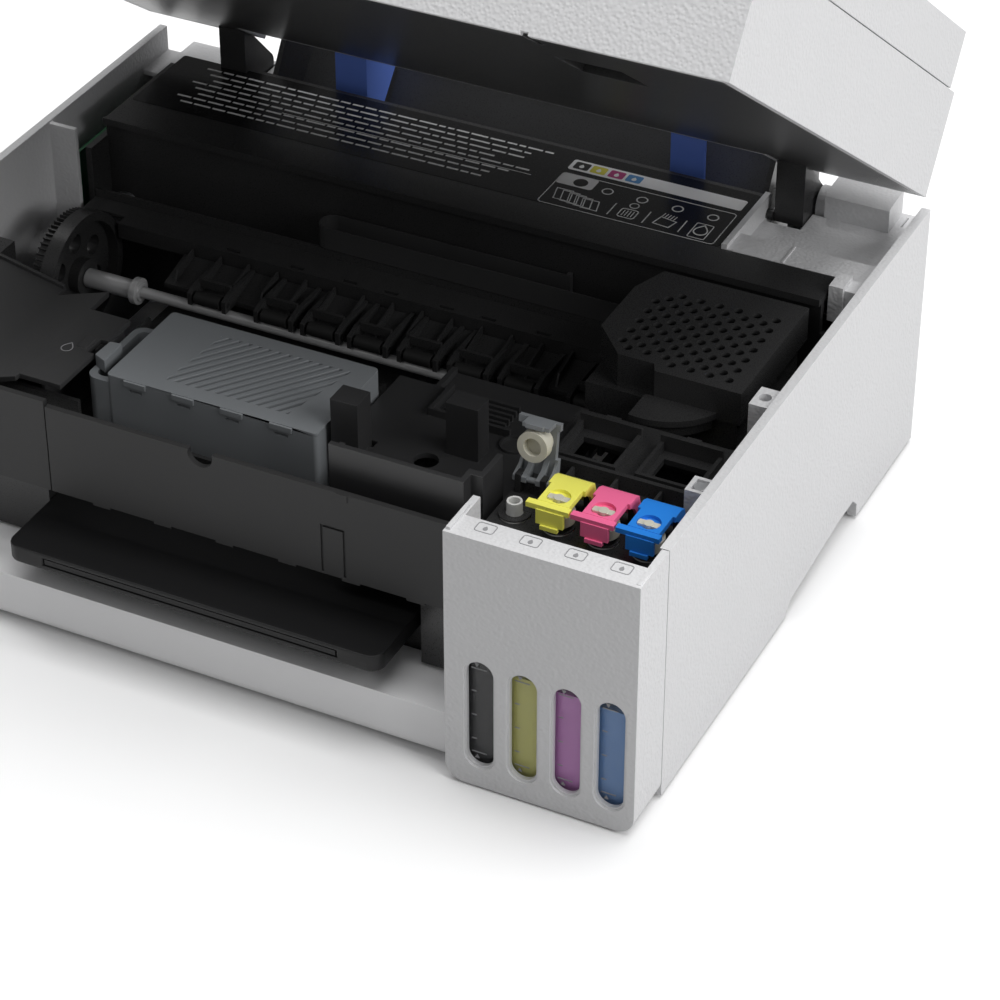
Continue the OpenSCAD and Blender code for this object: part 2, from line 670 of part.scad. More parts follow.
module output_tray() color(black) difference() {
    rbox(-88.6, 79.4, 2, 136, 38, 45.6, 6);
    // slot that the extension slides in
    bx(-71, 61, -1, 131, 40.4, 43.4);
    bx(-60, 50, 50, 120, 37, 41);
}
module tray_extension() color(dark) {
    bx(-70.5, 60.5, 12, 110, 40.8, 43);
    bx(-70.5, 60.5, 2.4, 12, 40.7, 43.1);
}

// ---------- maintenance box ----------
module maintenance_box() color(grey) difference() {
    union() {
        rbox(box_x0, box_x1, box_y0, box_y1, 66, box_z - 1.6, 2);
        // looped handle at the left end
        difference() {
            rbox(box_x0 - 10.5, box_x0 + 6, box_y0 + 0.5, box_y1 - 10, 76, 98, 5);
            rbox(box_x0 - 7.5, box_x0 - 0, box_y0 + 3.5, box_y1 - 13, 78.4, 99, 3);
        }
    }
    bx(box_x0 + 2.4, box_x1 - 2.4, box_y0 + 2.4, box_y1 - 2.4, 68.4, box_z);
    // snap slots in the front wall
    for (x = [-58, -36, -14, 8]) bx(x, x + 6, box_y0 - 1, box_y0 + 3, 96.4, 97.6);
}
module box_lid() color(grey) {
    difference() {
        rbox(box_x0, box_x1, box_y0, box_y1, box_z - 1.6, box_z, 2);
        // slanted vents inside a parallelogram
        for (i = [-9:13]) intersection() {
            translate([-27 + i * 4.6, 60, 90]) rotate([0, 0, 54]) bx(-24, 50, -0.8, 0.8, 0, 20);
            translate([0, 0, 90]) linear_extrude(20)
                polygon([[-45, 60], [-41, 97], [18, 97], [10, 60]]);
        }
    }
    // snap tabs along the front edge
    for (x = [-58, -36, -14, 8]) bx(x - 2, x + 8, box_y0 - 0.8, box_y0, box_z - 3, box_z - 0.4);
}

// ---------- ink caps ----------
// drawn closed, about a nozzle at x = 0
module cap_closed() {
    difference() {
        union() {
            bx(-6.4, 6.4, 38, 50, 110.6, 113);
            // front tab, skirt and thumb lip
            bx(-9.9, 7.6, 35, 38, 110.6, 112.8);
            bx(-5.6, 5.6, 34.6, 36.2, 104.6, 111);
            bx(-3.6, 3.6, 33.8, 35.6, 102.8, 104.6);
            // rear hood with its side plates
            along_x(-7.6, 7.6)
                polygon([[50, 110.6], [50, 113], [55.2, 113], [58.4, 111.6], [57.4, 109.8], [54.6, 110.6]]);
            for (s = [-7.05, 7.05, -3, 3]) along_x(s - (abs(s) > 5 ? 0.55 : 1), s + (abs(s) > 5 ? 0.55 : 1))
                polygon([[50.6, 110.6], [52, 113], [55.2, 113], [58.4, 111.6], [60.2, 106],
                    [59, 103.4], [56.8, 103.4], [54.4, 108]]);
        }
        // recess for the stopper's bar, and the hole for its stem
        zcyl(111.5, 120, 0, nozzle_y, 4.6);
        zcyl(100, 120, 0, nozzle_y, 2.3);
    }
    xcyl(-7, 7, cap_y, cap_z, 1.2);
}
module stopper_closed() difference() {
    union() {
        zcyl(102.6, 107, 0, nozzle_y, 6.3);
        zcyl(107, 110.5, 0, nozzle_y, 5.2);
        zcyl(110.5, 112.8, 0, nozzle_y, 2);
        // bar that snaps into the cap's recess
        intersection() {
            zcyl(111.6, 112.5, 0, nozzle_y, 4.4);
            bx(-5, 5, nozzle_y - 1.5, nozzle_y + 1.5, 111, 113);
        }
    }
    zcyl(102, 105.9, 0, nozzle_y, 3.6);
}
module cap_at(i, open = 0) {
    translate([nozzle_x[i], cap_y, cap_z]) rotate([-open, 0, 0]) translate([0, -cap_y, -cap_z]) children();
}
module cap_black() color(grey) cap_at(0, cap_open) cap_closed();
module cap_yellow() color(yellow) cap_at(1) cap_closed();
module cap_magenta() color(magenta) cap_at(2) cap_closed();
module cap_cyan() color(cyan) cap_at(3) cap_closed();
module stopper_black() color(cream) cap_at(0, cap_open) stopper_closed();
module stopper_yellow() color(cream) cap_at(1) stopper_closed();
module stopper_magenta() color(cream) cap_at(2) stopper_closed();
module stopper_cyan() color(cream) cap_at(3) stopper_closed();

// ---------- scanner, drawn closed ----------
module lid_outline(inset) {
    difference() {
        translate([-hx + inset, inset]) square([body_w - 2 * inset, lid_d - 2 * inset]);
        translate([notch_x0 - inset, notch_d - inset])
            square([notch_x1 - notch_x0 + 2 * inset, lid_d]);
    }
}
// room for the end rib of the tank cover
module rib_notch() bx(tank_x, tank_x + 3, -1, 18.6, lid_z - 1, lid_z + 1.2);
module hinge_arms() color(black) raised() for (x = [-145.5, 124.4]) {
    along_x(x, x + 13) {
        polygon([[264.3, lid_z], [275.4, lid_z], [297, 113.2], [297, 101.5], [281.7, 93.5]]);
        translate([hinge_y, hinge_z]) circle(6);
    }
    // pins that point outwards into the brackets
    xcyl(x < 0 ? x - 4.5 : x + 13, x < 0 ? x : x + 17.6, hinge_y, hinge_z, 3);
}
module scanner_tray() color(black) raised() {
    // floor, with a pocket over an ink cap that is left open
    difference() {
        union() {
            translate([0, 0, lid_z]) linear_extrude(2.6) lid_outline(3.6);
            bx(101, 132, 46, 82, lid_z, lid_z + 15);
        }
        bx(103, 130, 48, 80, lid_z - 1, lid_z + 13);
        rib_notch();
    }
    // ribs under the carriage of the image sensor
    for (y = [100, 150, 200]) bx(-170, 170, y, y + 2, lid_z + 2.6, lid_z + 8);
}
module scanner_base() color(white) raised() difference() {
    translate([0, 0, lid_z]) linear_extrude(scanner_h) lid_outline(0);
    translate([0, 0, lid_z - 1]) linear_extrude(scanner_h - 2) lid_outline(3.4);
    rib_notch();
    // sockets for the document cover's hinge barrels
    for (s = [-1, 1]) xcyl(s * 160 - 10.5, s * 160 + 10.5, 268, lid_z + scanner_h + 0.4, 2.7);
    // window over the glass
    bx(-164, 141, 20, 242, lid_z + 40, lid_z + 50);
    // control panel and its buttons pass through the front wall
    bx(-90, 60, -1, 4, lid_z + 12, lid_z + 36);
}
module scanner_glass() color(clear) raised()
    bx(-168, 145, 16, 246, lid_z + scanner_h - 5.8, lid_z + scanner_h - 3);
module document_cover() color(white) raised() difference() {
    union() {
        translate([0, 0, lid_z + scanner_h + 0.4]) linear_extrude(cover_h) difference() {
            lid_outline(0);
            translate([-hx - 1, 268]) square([body_w + 2, 20]);
        }
        // hinge barrels
        for (s = [-1, 1]) xcyl(s * 160 - 10, s * 160 + 10, 268, lid_z + scanner_h + 0.4, 2.2);
    }
    translate([0, 0, lid_z + scanner_h + 2.8]) linear_extrude(cover_h - 4.8) difference() {
        lid_outline(2.4);
        translate([-hx - 1, 265.6]) square([body_w + 2, 20]);
    }
    // drain holes in the back edge
    for (x = [-155, 155]) ycyl(264, 269, x, lid_z + scanner_h + 12, 2);
}
module control_panel() color(black) raised() difference() {
    union() {
        bx(-89.7, 59.7, 0.4, 4.4, lid_z + 12.3, lid_z + 35.7);
        bx(-93, 63, 3.4, 4.4, lid_z + 10, lid_z + 38);
    }
    for (x = [-75, 10, 40]) ycyl(-1, 6, x, lid_z + 24, 6.4);
    bx(-50, -8, -1, 1.2, lid_z + 17, lid_z + 31);
}
module button(x) {
    ycyl(0.8, 5.6, x, lid_z + 24, 6);
    ycyl(5.6, 6.4, x, lid_z + 24, 7.4);
}
module power_button() color(dark) raised() button(-75);
module start_button() color(dark) raised() button(10);
module stop_button() color(dark) raised() button(40);
module cis_bar() color(dark) raised() {
    bx(-164, -150, 20, 240, lid_z + 26, lid_z + 38);
    bx(-162, -152, 22, 238, lid_z + 38, lid_z + 38.4);
}

// ---------- every node, with the origin under the middle of the printer ----------
module at_origin() translate([0, -body_d / 2, 0]) children();

at_origin() base_pan();
at_origin() left_cover();
at_origin() right_cover();
at_origin() rear_cover();
at_origin() tank_cover();
at_origin() inner_frame();
at_origin() front_panel();
at_origin() service_cover();
at_origin() station_tray();
at_origin() platen();
at_origin() guide_rail();
at_origin() paper_guide();
at_origin() tank_deck();
at_origin() ink_tanks();
at_origin() filler_nozzles();
at_origin() feet();
at_origin() screws();
at_origin() main_board();
at_origin() power_unit();
at_origin() carriage_motor();
at_origin() feed_motor();
at_origin() cap_station();
at_origin() feeder_housing();
at_origin() timing_belt();
at_origin() ribbon_cable();
at_origin() carriage_body();
at_origin() carriage_cover();
at_origin() print_head();
at_origin() drive_pulley();
at_origin() idler_pulley();
at_origin() feed_roller();
at_origin() feed_gear();
at_origin() motor_pinion();
at_origin() pinch_rollers();
at_origin() eject_roller();
at_origin() pickup_roller();
at_origin() edge_guide_left();
at_origin() edge_guide_right();
at_origin() output_tray();
at_origin() tray_extension();
at_origin() maintenance_box();
at_origin() box_lid();
at_origin() cap_black();
at_origin() cap_yellow();
at_origin() cap_magenta();
at_origin() cap_cyan();
at_origin() stopper_black();
at_origin() stopper_yellow();
at_origin() stopper_magenta();
at_origin() stopper_cyan();
at_origin() hinge_arms();
at_origin() scanner_tray();
at_origin() scanner_base();
at_origin() scanner_glass();
at_origin() document_cover();
at_origin() control_panel();
at_origin() cis_bar();
at_origin() power_button();
at_origin() start_button();
at_origin() stop_button();
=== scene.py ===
"""Looks of an ink-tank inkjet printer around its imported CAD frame."""
import json
import math

import bmesh
import bpy
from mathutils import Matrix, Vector


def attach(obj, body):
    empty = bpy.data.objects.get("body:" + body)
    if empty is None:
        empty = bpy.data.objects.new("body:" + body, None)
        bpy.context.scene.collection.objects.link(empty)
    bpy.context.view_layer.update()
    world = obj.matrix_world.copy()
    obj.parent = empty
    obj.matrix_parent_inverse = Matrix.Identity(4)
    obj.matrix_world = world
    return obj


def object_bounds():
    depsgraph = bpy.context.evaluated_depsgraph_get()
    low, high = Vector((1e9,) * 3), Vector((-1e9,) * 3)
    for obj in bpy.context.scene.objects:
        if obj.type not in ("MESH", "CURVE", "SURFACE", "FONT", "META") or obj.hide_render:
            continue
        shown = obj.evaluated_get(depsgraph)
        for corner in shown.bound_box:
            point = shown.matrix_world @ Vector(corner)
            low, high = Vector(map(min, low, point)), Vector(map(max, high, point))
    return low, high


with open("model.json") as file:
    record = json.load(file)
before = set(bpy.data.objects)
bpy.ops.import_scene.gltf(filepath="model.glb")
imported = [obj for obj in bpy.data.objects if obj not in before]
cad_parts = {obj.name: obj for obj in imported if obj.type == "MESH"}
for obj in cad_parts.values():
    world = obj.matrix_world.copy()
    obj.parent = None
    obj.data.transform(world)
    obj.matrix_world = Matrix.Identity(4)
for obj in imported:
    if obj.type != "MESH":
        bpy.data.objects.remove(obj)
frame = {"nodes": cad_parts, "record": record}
CAD_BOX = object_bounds()
NODES = frame["nodes"]

MM = 0.001
Y_MID = 173.5  # the row frame's Y = 0, measured from the printer's front face

# printer layout, in mm, with Y measured from the front face
RIM_Z = 117.0
LEDGE_Z = 112.6
WINDOW_X = [123 + 18 * i for i in range(4)]
NOZZLE_X = [116.6 + 18.25 * i for i in range(4)]
INKS = ["black", "yellow", "magenta", "cyan"]


def at(x, y, z):
    """A point given in front-based millimetres, in the row frame."""
    return Vector((x * MM, (y - Y_MID) * MM, z * MM))


# ---------------------------------------------------------------- camera

camera = bpy.data.objects.new("camera", bpy.data.cameras.new("camera"))
bpy.context.scene.collection.objects.link(camera)
camera.location = (0.56085, -1.03855, 0.82997)
camera.rotation_euler = (math.radians(90 - 35.625), 0, math.radians(26.378))
camera.data.lens = 120.03
camera.data.sensor_width = 36
camera.data.clip_start = 0.01
camera.data.clip_end = 50
bpy.context.scene.camera = camera

# ---------------------------------------------------------------- materials


class Graph:
    """A short way to write a node tree."""

    def __init__(self, name):
        self.mat = bpy.data.materials.new(name)
        self.mat.use_nodes = True
        self.tree = self.mat.node_tree
        self.tree.nodes.clear()
        self.out = self.add("OutputMaterial")
        self.coords = self.add("TexCoord").outputs["Object"]

    def add(self, kind, **values):
        node = self.tree.nodes.new("ShaderNode" + kind)
        for key, value in values.items():
            if hasattr(node, key) and key not in node.inputs:
                setattr(node, key, value)
            else:
                self.put(node, key, value)
        return node

    def put(self, node, key, value):
        if isinstance(key, str) and key.replace("_", " ") in node.inputs:
            key = key.replace("_", " ")
        socket = node.inputs[key]
        if isinstance(value, bpy.types.NodeSocket):
            self.tree.links.new(value, socket)
        else:
            socket.default_value = value

    def noise(self, scale, detail=2.0, rough=0.5, stretch=None):
        vector = self.coords
        if stretch:
            mapping = self.add("Mapping", Vector=vector)
            mapping.inputs["Scale"].default_value = stretch
            vector = mapping.outputs[0]
        node = self.add("TexNoise", Vector=vector, Scale=scale, Detail=detail, Roughness=rough)
        return node.outputs["Fac"]

    def cells(self, scale, feature="F1"):
        node = self.add("TexVoronoi", Vector=self.coords, Scale=scale)
        node.feature = feature
        return node.outputs["Distance"]

    def fit(self, value, low, high, a=0.3, b=0.7):
        node = self.add("MapRange", Value=value)
        for key, number in (("From Min", a), ("From Max", b), ("To Min", low), ("To Max", high)):
            node.inputs[key].default_value = number
        return node.outputs[0]

    def mix(self, factor, first, second):
        node = self.add("Mix")
        node.data_type = "RGBA"
        self.put(node, 0, factor)
        for index, value in ((6, first), (7, second)):
            if isinstance(value, bpy.types.NodeSocket):
                self.tree.links.new(value, node.inputs[index])
            else:
                node.inputs[index].default_value = (*value[:3], 1)
        return node.outputs[2]

    def bump(self, height, strength, distance, normal=None):
        node = self.add("Bump", Height=height, Strength=strength, Distance=distance)
        if normal is not None:
            self.put(node, "Normal", normal)
        return node.outputs[0]


def shade(color, amount):
    return tuple(max(0.0, c * amount) for c in color)


def plastic(name, color, rough=0.45, grain=2600, depth=0.12, leather=0.0, mottle=0.06,
            specular=0.5, coat=0.0, alpha=1.0, scatter=0.0, metallic=0.0, brush=None):
    """Moulded plastic: soft tone drift, a fine spark-eroded grain and, if asked, leather cells."""
    g = Graph(name)
    drift = g.noise(14, 3, 0.55)
    fine = g.noise(grain, 2, 0.6, brush)
    tone = g.mix(g.fit(drift, 0, 1), shade(color, 1 - mottle), shade(color, 1 + mottle))
    speck = g.mix(g.fit(fine, 0, 0.35, 0.45, 0.8), tone, shade(color, 1 + 2.2 * mottle))
    shader = g.add("BsdfPrincipled", Base_Color=speck)
    roughness = g.fit(fine, max(0.02, rough - 0.05), min(1.0, rough + 0.06))
    g.put(shader, "Roughness", roughness)
    normal = g.bump(fine, depth, 0.00012)
    if leather:
        cell = g.fit(g.cells(720, "SMOOTH_F1"), 0, 1, 0.1, 0.75)
        normal = g.bump(cell, leather, 0.00025, normal)
    g.put(shader, "Normal", normal)
    shader.inputs["Specular IOR Level"].default_value = specular
    shader.inputs["Metallic"].default_value = metallic
    shader.inputs["Coat Weight"].default_value = coat
    shader.inputs["Coat Roughness"].default_value = 0.08
    shader.inputs["Alpha"].default_value = alpha
    if scatter:
        shader.inputs["Subsurface Weight"].default_value = scatter
        shader.inputs["Subsurface Radius"].default_value = (0.002, 0.002, 0.002)
    g.put(g.out, "Surface", shader.outputs[0])
    return g.mat


def glass(name, color, rough=0.03):
    g = Graph(name)
    smear = g.noise(30, 4, 0.6)
    shader = g.add("BsdfPrincipled", Base_Color=g.mix(smear, shade(color, 0.97), color))
    g.put(shader, "Roughness", g.fit(smear, rough, rough + 0.04))
    shader.inputs["Transmission Weight"].default_value = 1.0
    shader.inputs["IOR"].default_value = 1.5
    g.put(g.out, "Surface", shader.outputs[0])
    return g.mat


MATS = {
    "white_plastic": plastic("white_shell", (0.69, 0.69, 0.70), 0.5, 2200, 0.1, leather=0.6,
                             mottle=0.012),
    # a brighter copy of the white shell without leather, for the base pan: painted light that lifts its
    # shaded front strip
    "white_smooth": plastic("white_smooth", (0.93, 0.93, 0.94), 0.42, 2600, 0.08, mottle=0.012),
    "black_plastic": plastic("black_frame", (0.032, 0.032, 0.0325), 0.30, 2400, 0.14, mottle=0.12),
    "black_cover": plastic("black_cover", (0.036, 0.036, 0.0365), 0.28, 2600, 0.10, mottle=0.10),
    "tray_black": plastic("tray_black", (0.0085, 0.0085, 0.009), 0.42, 2200, 0.2, mottle=0.10,
                          specular=0.28),
    # a lighter copy of black_frame for the station tray: painted light that lifts it out of the shade it
    # sits in
    "station_black_painted_light": plastic("station_black_painted_light", (0.034, 0.034, 0.035), 0.38, 2400, 0.14, mottle=0.1,
                             specular=0.45),
    "dark_plastic": plastic("charcoal", (0.028, 0.028, 0.0285), 0.50, 2300, 0.2, mottle=0.07,
                            specular=0.35),
    "service_dark": plastic("service_dark", (0.042, 0.042, 0.043), 0.45, 2300, 0.2, mottle=0.07,
                            specular=0.4),
    "gloss_black": plastic("piano_black", (0.008, 0.008, 0.009), 0.08, 900, 0.01, mottle=0.05, coat=0.6),
    "grey_plastic": plastic("slate_grey", (0.225, 0.238, 0.250), 0.46, 2300, 0.16, mottle=0.05,
                            specular=0.4),
    "yellow_plastic": plastic("cap_yellow", (0.98, 0.94, 0.16), 0.38, 2600, 0.07, mottle=0.03,
                              scatter=0.1),
    "magenta_plastic": plastic("cap_magenta", (0.97, 0.17, 0.36), 0.38, 2600, 0.07, mottle=0.04),
    "cyan_plastic": plastic("cap_cyan", (0.022, 0.235, 0.78), 0.38, 2600, 0.07, mottle=0.04),
    "cream_rubber": plastic("cream_rubber", (0.60, 0.58, 0.49), 0.62, 1800, 0.12, mottle=0.04,
                            scatter=0.15),
    "blue_plastic": plastic("guide_blue", (0.17, 0.30, 0.92), 0.36, 2400, 0.08, mottle=0.05),
    "steel": plastic("steel", (0.66, 0.67, 0.69), 0.34, 1600, 0.1, mottle=0.08, metallic=0.6,
                     brush=(1, 1, 0.08)),
    "roller_steel": plastic("roller_steel", (0.48, 0.48, 0.485), 0.34, 1800, 0.1, mottle=0.1,
                            metallic=0.3, brush=(0.06, 1, 1)),
    "black_rubber": plastic("black_rubber", (0.016, 0.016, 0.016), 0.6, 1500, 0.25, mottle=0.12,
                            specular=0.3),
    "clear_plastic": plastic("tank_plastic", (0.12, 0.122, 0.125), 0.22, 700, 0.03, mottle=0.03,
                             alpha=0.16),
    "pale_plastic": plastic("pale_grey", (0.80, 0.80, 0.78), 0.42, 2400, 0.1, mottle=0.03),
    "scan_glass": glass("float_glass", (0.90, 0.95, 0.94)),
    "board_green": plastic("board_green", (0.012, 0.10, 0.04), 0.35, 700, 0.06, mottle=0.2),
    "cable_film": plastic("cable_film", (0.045, 0.045, 0.046), 0.32, 900, 0.05, mottle=0.1,
                          specular=0.35, brush=(0.05, 1, 30)),
    "label_black": plastic("label_black", (0.013, 0.013, 0.0134), 0.22, 1500, 0.02, mottle=0.1,
                           specular=0.25),
    "print_grey": plastic("print_grey", (0.86, 0.86, 0.86), 0.5, 2400, 0.04, mottle=0.03),
    "print_white": plastic("print_white", (0.78, 0.78, 0.78), 0.5, 2400, 0.04, mottle=0.02),
    "print_black": plastic("print_black", (0.006, 0.006, 0.006), 0.4, 2400, 0.04, mottle=0.1,
                           specular=0.3),
    "print_yellow": plastic("print_yellow", (0.66, 0.60, 0.03), 0.45, 2400, 0.04, mottle=0.04),
    "print_magenta": plastic("print_magenta", (0.42, 0.008, 0.16), 0.45, 2400, 0.04, mottle=0.05),
    "print_blue": plastic("print_blue", (0.05, 0.24, 0.52), 0.45, 2400, 0.04, mottle=0.05),
    "mark_grey": plastic("mark_grey", (0.30, 0.30, 0.31), 0.5, 2400, 0.04, mottle=0.03),
    "ink_black": plastic("ink_black", (0.012, 0.012, 0.014), 0.15, 60, 0.02, mottle=0.15),
    "ink_yellow": plastic("ink_yellow", (0.95, 0.93, 0.28), 0.15, 60, 0.02, mottle=0.05),
    "ink_magenta": plastic("ink_magenta", (0.92, 0.38, 0.92), 0.15, 60, 0.02, mottle=0.06),
    "ink_cyan": plastic("ink_cyan", (0.24, 0.48, 0.95), 0.15, 60, 0.02, mottle=0.06),
}

# nodes whose finish differs from their record slot's usual look; for base_pan and station_tray the
# lighter finish is painted light that offsets their shade
NODE_LOOK = {
    "carriage_cover": "black_cover",
    "carriage_body": "black_cover",
    # painted light: brighter white on the base pan's shaded front strip
    "base_pan": "white_smooth",
    "service_cover": "service_dark",
    # painted light: lighter black on the station tray, which sits in shade
    "station_tray": "station_black_painted_light",
    "output_tray": "tray_black",
    "tray_extension": "tray_black",
    "feed_roller": "roller_steel",
    "pinch_rollers": "black_rubber",
}

# ---------------------------------------------------------------- edge rounding

SMOOTH_ANGLE = math.radians(38)
BEVEL_ANGLE = math.radians(40)
FLAT_ANGLE = math.radians(0.5)
WELD_DISTANCE = 0.00001
DEFAULT_EDGE = 0.3


def smoothing_group():
    """Geometry nodes: smooth faces, sharp edges above an angle."""
    group = bpy.data.node_groups.new("smooth_by_angle", "GeometryNodeTree")
    group.interface.new_socket("Geometry", in_out="INPUT", socket_type="NodeSocketGeometry")
    group.interface.new_socket("Geometry", in_out="OUTPUT", socket_type="NodeSocketGeometry")
    nodes, links = group.nodes, group.links
    first, last = nodes.new("NodeGroupInput"), nodes.new("NodeGroupOutput")
    faces = nodes.new("GeometryNodeSetShadeSmooth")
    edges = nodes.new("GeometryNodeSetShadeSmooth")
    edges.domain = "EDGE"
    angle = nodes.new("GeometryNodeInputMeshEdgeAngle")
    flat = nodes.new("FunctionNodeCompare")
    flat.data_type = "FLOAT"
    flat.operation = "LESS_EQUAL"
    flat.inputs[1].default_value = SMOOTH_ANGLE
    links.new(first.outputs[0], faces.inputs["Geometry"])
    links.new(angle.outputs["Unsigned Angle"], flat.inputs[0])
    links.new(faces.outputs[0], edges.inputs["Geometry"])
    links.new(flat.outputs[0], edges.inputs["Shade Smooth"])
    links.new(edges.outputs[0], last.inputs[0])
    return group


SMOOTHING = smoothing_group()


def round_edges(obj, width, weld=True):
    """Cleans the mesh if asked, rounds its edges by a width in mm and smooths the shading."""
    if weld:
        obj.modifiers.new("weld", "WELD").merge_threshold = WELD_DISTANCE
        dissolve = obj.modifiers.new("dissolve", "DECIMATE")
        dissolve.decimate_type = "DISSOLVE"
        dissolve.angle_limit = FLAT_ANGLE
    if width:
        bevel = obj.modifiers.new("bevel", "BEVEL")
        bevel.width = width * MM
        bevel.segments = 2
        bevel.limit_method = "ANGLE"
        bevel.angle_limit = BEVEL_ANGLE
        bevel.use_clamp_overlap = True
    smooth = obj.modifiers.new("smooth", "NODES")
    smooth.node_group = SMOOTHING
    weigh = obj.modifiers.new("weigh", "WEIGHTED_NORMAL")
    weigh.keep_sharp = True
    weigh.weight = 60


# widths of the rounding, in mm, where they differ from the default
EDGE = {
    "feed_gear": 0.06, "motor_pinion": 0.04, "ribbon_cable": 0.1, "timing_belt": 0.15,
    "box_lid": 0.22, "maintenance_box": 0.4, "output_tray": 0.8, "carriage_cover": 0.35,
    "tank_cover": 0.45, "base_pan": 0.5, "left_cover": 0.6, "right_cover": 0.5,
    "rear_cover": 0.5, "scanner_base": 1.5, "document_cover": 1.5, "front_panel": 0.4,
    "service_cover": 0.5, "cap_black": 0.25, "cap_yellow": 0.25, "cap_magenta": 0.25,
    "cap_cyan": 0.25,
}

SLOT_OF = {row["node"]: row["material_slot"] for row in frame["record"]["subparts"]}

for node_name, node in NODES.items():
    look = MATS[NODE_LOOK.get(node_name, SLOT_OF[node_name])]
    if not node.material_slots:
        node.data.materials.append(look)
    for material_slot in node.material_slots:
        material_slot.material = look
    round_edges(node, EDGE.get(node_name, DEFAULT_EDGE))

# ---------------------------------------------------------------- pieces


class Solid:
    """Closed solids collected in front-based millimetres."""

    def __init__(self):
        self.verts = []
        self.faces = []

    def rings(self, rings, closed=False):
        """Joins rings of points in order; the ends are capped unless they meet."""
        start, count, size = len(self.verts), len(rings), len(rings[0])
        for ring in rings:
            self.verts.extend(ring)
        for i in range(count if closed else count - 1):
            a, b = start + i * size, start + (i + 1) % count * size
            for j in range(size):
                k = (j + 1) % size
                self.faces.append((a + j, a + k, b + k, b + j))
        if not closed:
            self.faces.append(tuple(start + j for j in reversed(range(size))))
            self.faces.append(tuple(start + (count - 1) * size + j for j in range(size)))
        return self

    def prism(self, outline, low, high, axis="z"):
        """An outline pushed along an axis: (x, y) along z, or (x, z) along y."""
        place = {"z": lambda a, b, h: (a, b, h), "y": lambda a, b, h: (a, h, b)}[axis]
        return self.rings([[place(a, b, h) for a, b in outline] for h in (low, high)])

    def bar(self, x0, x1, a0, a1, low, high, axis="z"):
        """A prism with a rectangular outline."""
        return self.prism([(x0, a0), (x1, a0), (x1, a1), (x0, a1)], low, high, axis)

    def frame_of(self, outer, inner, low, high):
        """The border between two outlines with equal point counts."""
        loop = ((outer, low), (outer, high), (inner, high), (inner, low))
        return self.rings([[(a, b, h) for a, b in outline] for outline, h in loop], closed=True)


def rounded(x0, x1, y0, y1, r, steps=5):
    """A rectangle with round corners, anticlockwise."""
    points = []
    corners = ((x1 - r, y1 - r, 0), (x0 + r, y1 - r, 90), (x0 + r, y0 + r, 180), (x1 - r, y0 + r, 270))
    for cx, cy, first in corners:
        for i in range(steps + 1):
            t = math.radians(first + 90 * i / steps)
            points.append((cx + r * math.cos(t), cy + r * math.sin(t)))
    return points


def circle(cx, cy, r, sides=24):
    turns = [2 * math.pi * i / sides for i in range(sides)]
    return [(cx + r * math.cos(t), cy + r * math.sin(t)) for t in turns]


def droplet(cx, cy, size, sides=20):
    """A plain drop outline, point upwards."""
    points = []
    for i in range(sides):
        t = 2 * math.pi * i / sides
        r = size * (1 - 0.45 * math.sin(t) ** 3 if math.sin(t) > 0 else 1)
        x = r * math.cos(t) * (1 - 0.55 * max(0, math.sin(t)) ** 2)
        y = size * math.sin(t) * (1.75 if math.sin(t) > 0 else 1)
        points.append((cx + x, cy + y))
    return points


def piece(name, solid, look, body, bevel):
    """Builds a piece from a solid, finishes it and lets it ride on a body."""
    mesh = bpy.data.meshes.new(name)
    mesh.from_pydata([at(*v) for v in solid.verts], [], solid.faces)
    bm = bmesh.new()
    bm.from_mesh(mesh)
    bmesh.ops.recalc_face_normals(bm, faces=bm.faces)
    bm.to_mesh(mesh)
    bm.free()
    obj = bpy.data.objects.new(name, mesh)
    bpy.context.scene.collection.objects.link(obj)
    mesh.materials.append(MATS[look])
    round_edges(obj, bevel, weld=False)
    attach(obj, body)


# ---- ink in the tanks, seen through the windows, and the level marks on the tanks
INK_LEVEL = {"black": 84.0, "yellow": 55.6, "magenta": 54.6, "cyan": 53.6}
INK_FLOOR = 7.4
TANK_X, TANK_PITCH = 112.6, 18
TANK_WIDE, LAST_TANK_WIDE = 17.6, 16.4
MARK_Y = (3.2, 3.42)
for index, ink in enumerate(INKS):
    x0 = TANK_X + index * TANK_PITCH
    x1 = x0 + (LAST_TANK_WIDE if index == 3 else TANK_WIDE)
    level = INK_LEVEL[ink]
    wall = rounded(x0 + 1.36, x1 - 1.36, 4.76, 94.6, 0.8, 3)
    dish = rounded(x0 + 2.2, x1 - 2.2, 5.6, 93.8, 0.8, 3)
    fill = Solid().rings([[(a, b, INK_FLOOR) for a, b in wall], [(a, b, level) for a, b in wall],
                          [(a, b, level - 0.5) for a, b in dish]])
    piece("ink_fill_" + ink, fill, "ink_" + ink, "printer", 0)
    marks = Solid()
    wx = WINDOW_X[index]
    marks.prism([(wx - 3.4, 57.6), (wx - 1.4, 57.6), (wx - 2.4, 55.8)], *MARK_Y, "y")
    marks.bar(wx - 4.6, wx + 1.6, 54.9, 55.3, *MARK_Y, "y")
    for tick in (44.0, 32.5, 21.0):
        marks.bar(wx - 4.6, wx - 2.6, tick, tick + 0.4, *MARK_Y, "y")
    marks.bar(wx - 4.6, wx + 1.6, 14.6, 15.0, *MARK_Y, "y")
    marks.prism([(wx - 3.4, 11.9), (wx - 1.4, 11.9), (wx - 2.4, 13.7)], *MARK_Y, "y")
    piece("level_marks_" + ink, marks, "mark_grey", "printer", 0)

# ---- raised badges on the top strip
BADGE_X, BADGE_PITCH = 122.1, 18.15
BADGE_Z = (RIM_Z - 0.05, RIM_Z + 0.14)
badges = Solid()
for index in range(4):
    bx = BADGE_X + index * BADGE_PITCH
    badges.frame_of(rounded(bx - 3.9, bx + 3.9, 5.3, 11.1, 1.3),
                    rounded(bx - 3.55, bx + 3.55, 5.65, 10.75, 0.95), *BADGE_Z)
    badges.prism(droplet(bx, 7.6, 0.95), *BADGE_Z)
piece("top_badges", badges, "mark_grey", "printer", 0)

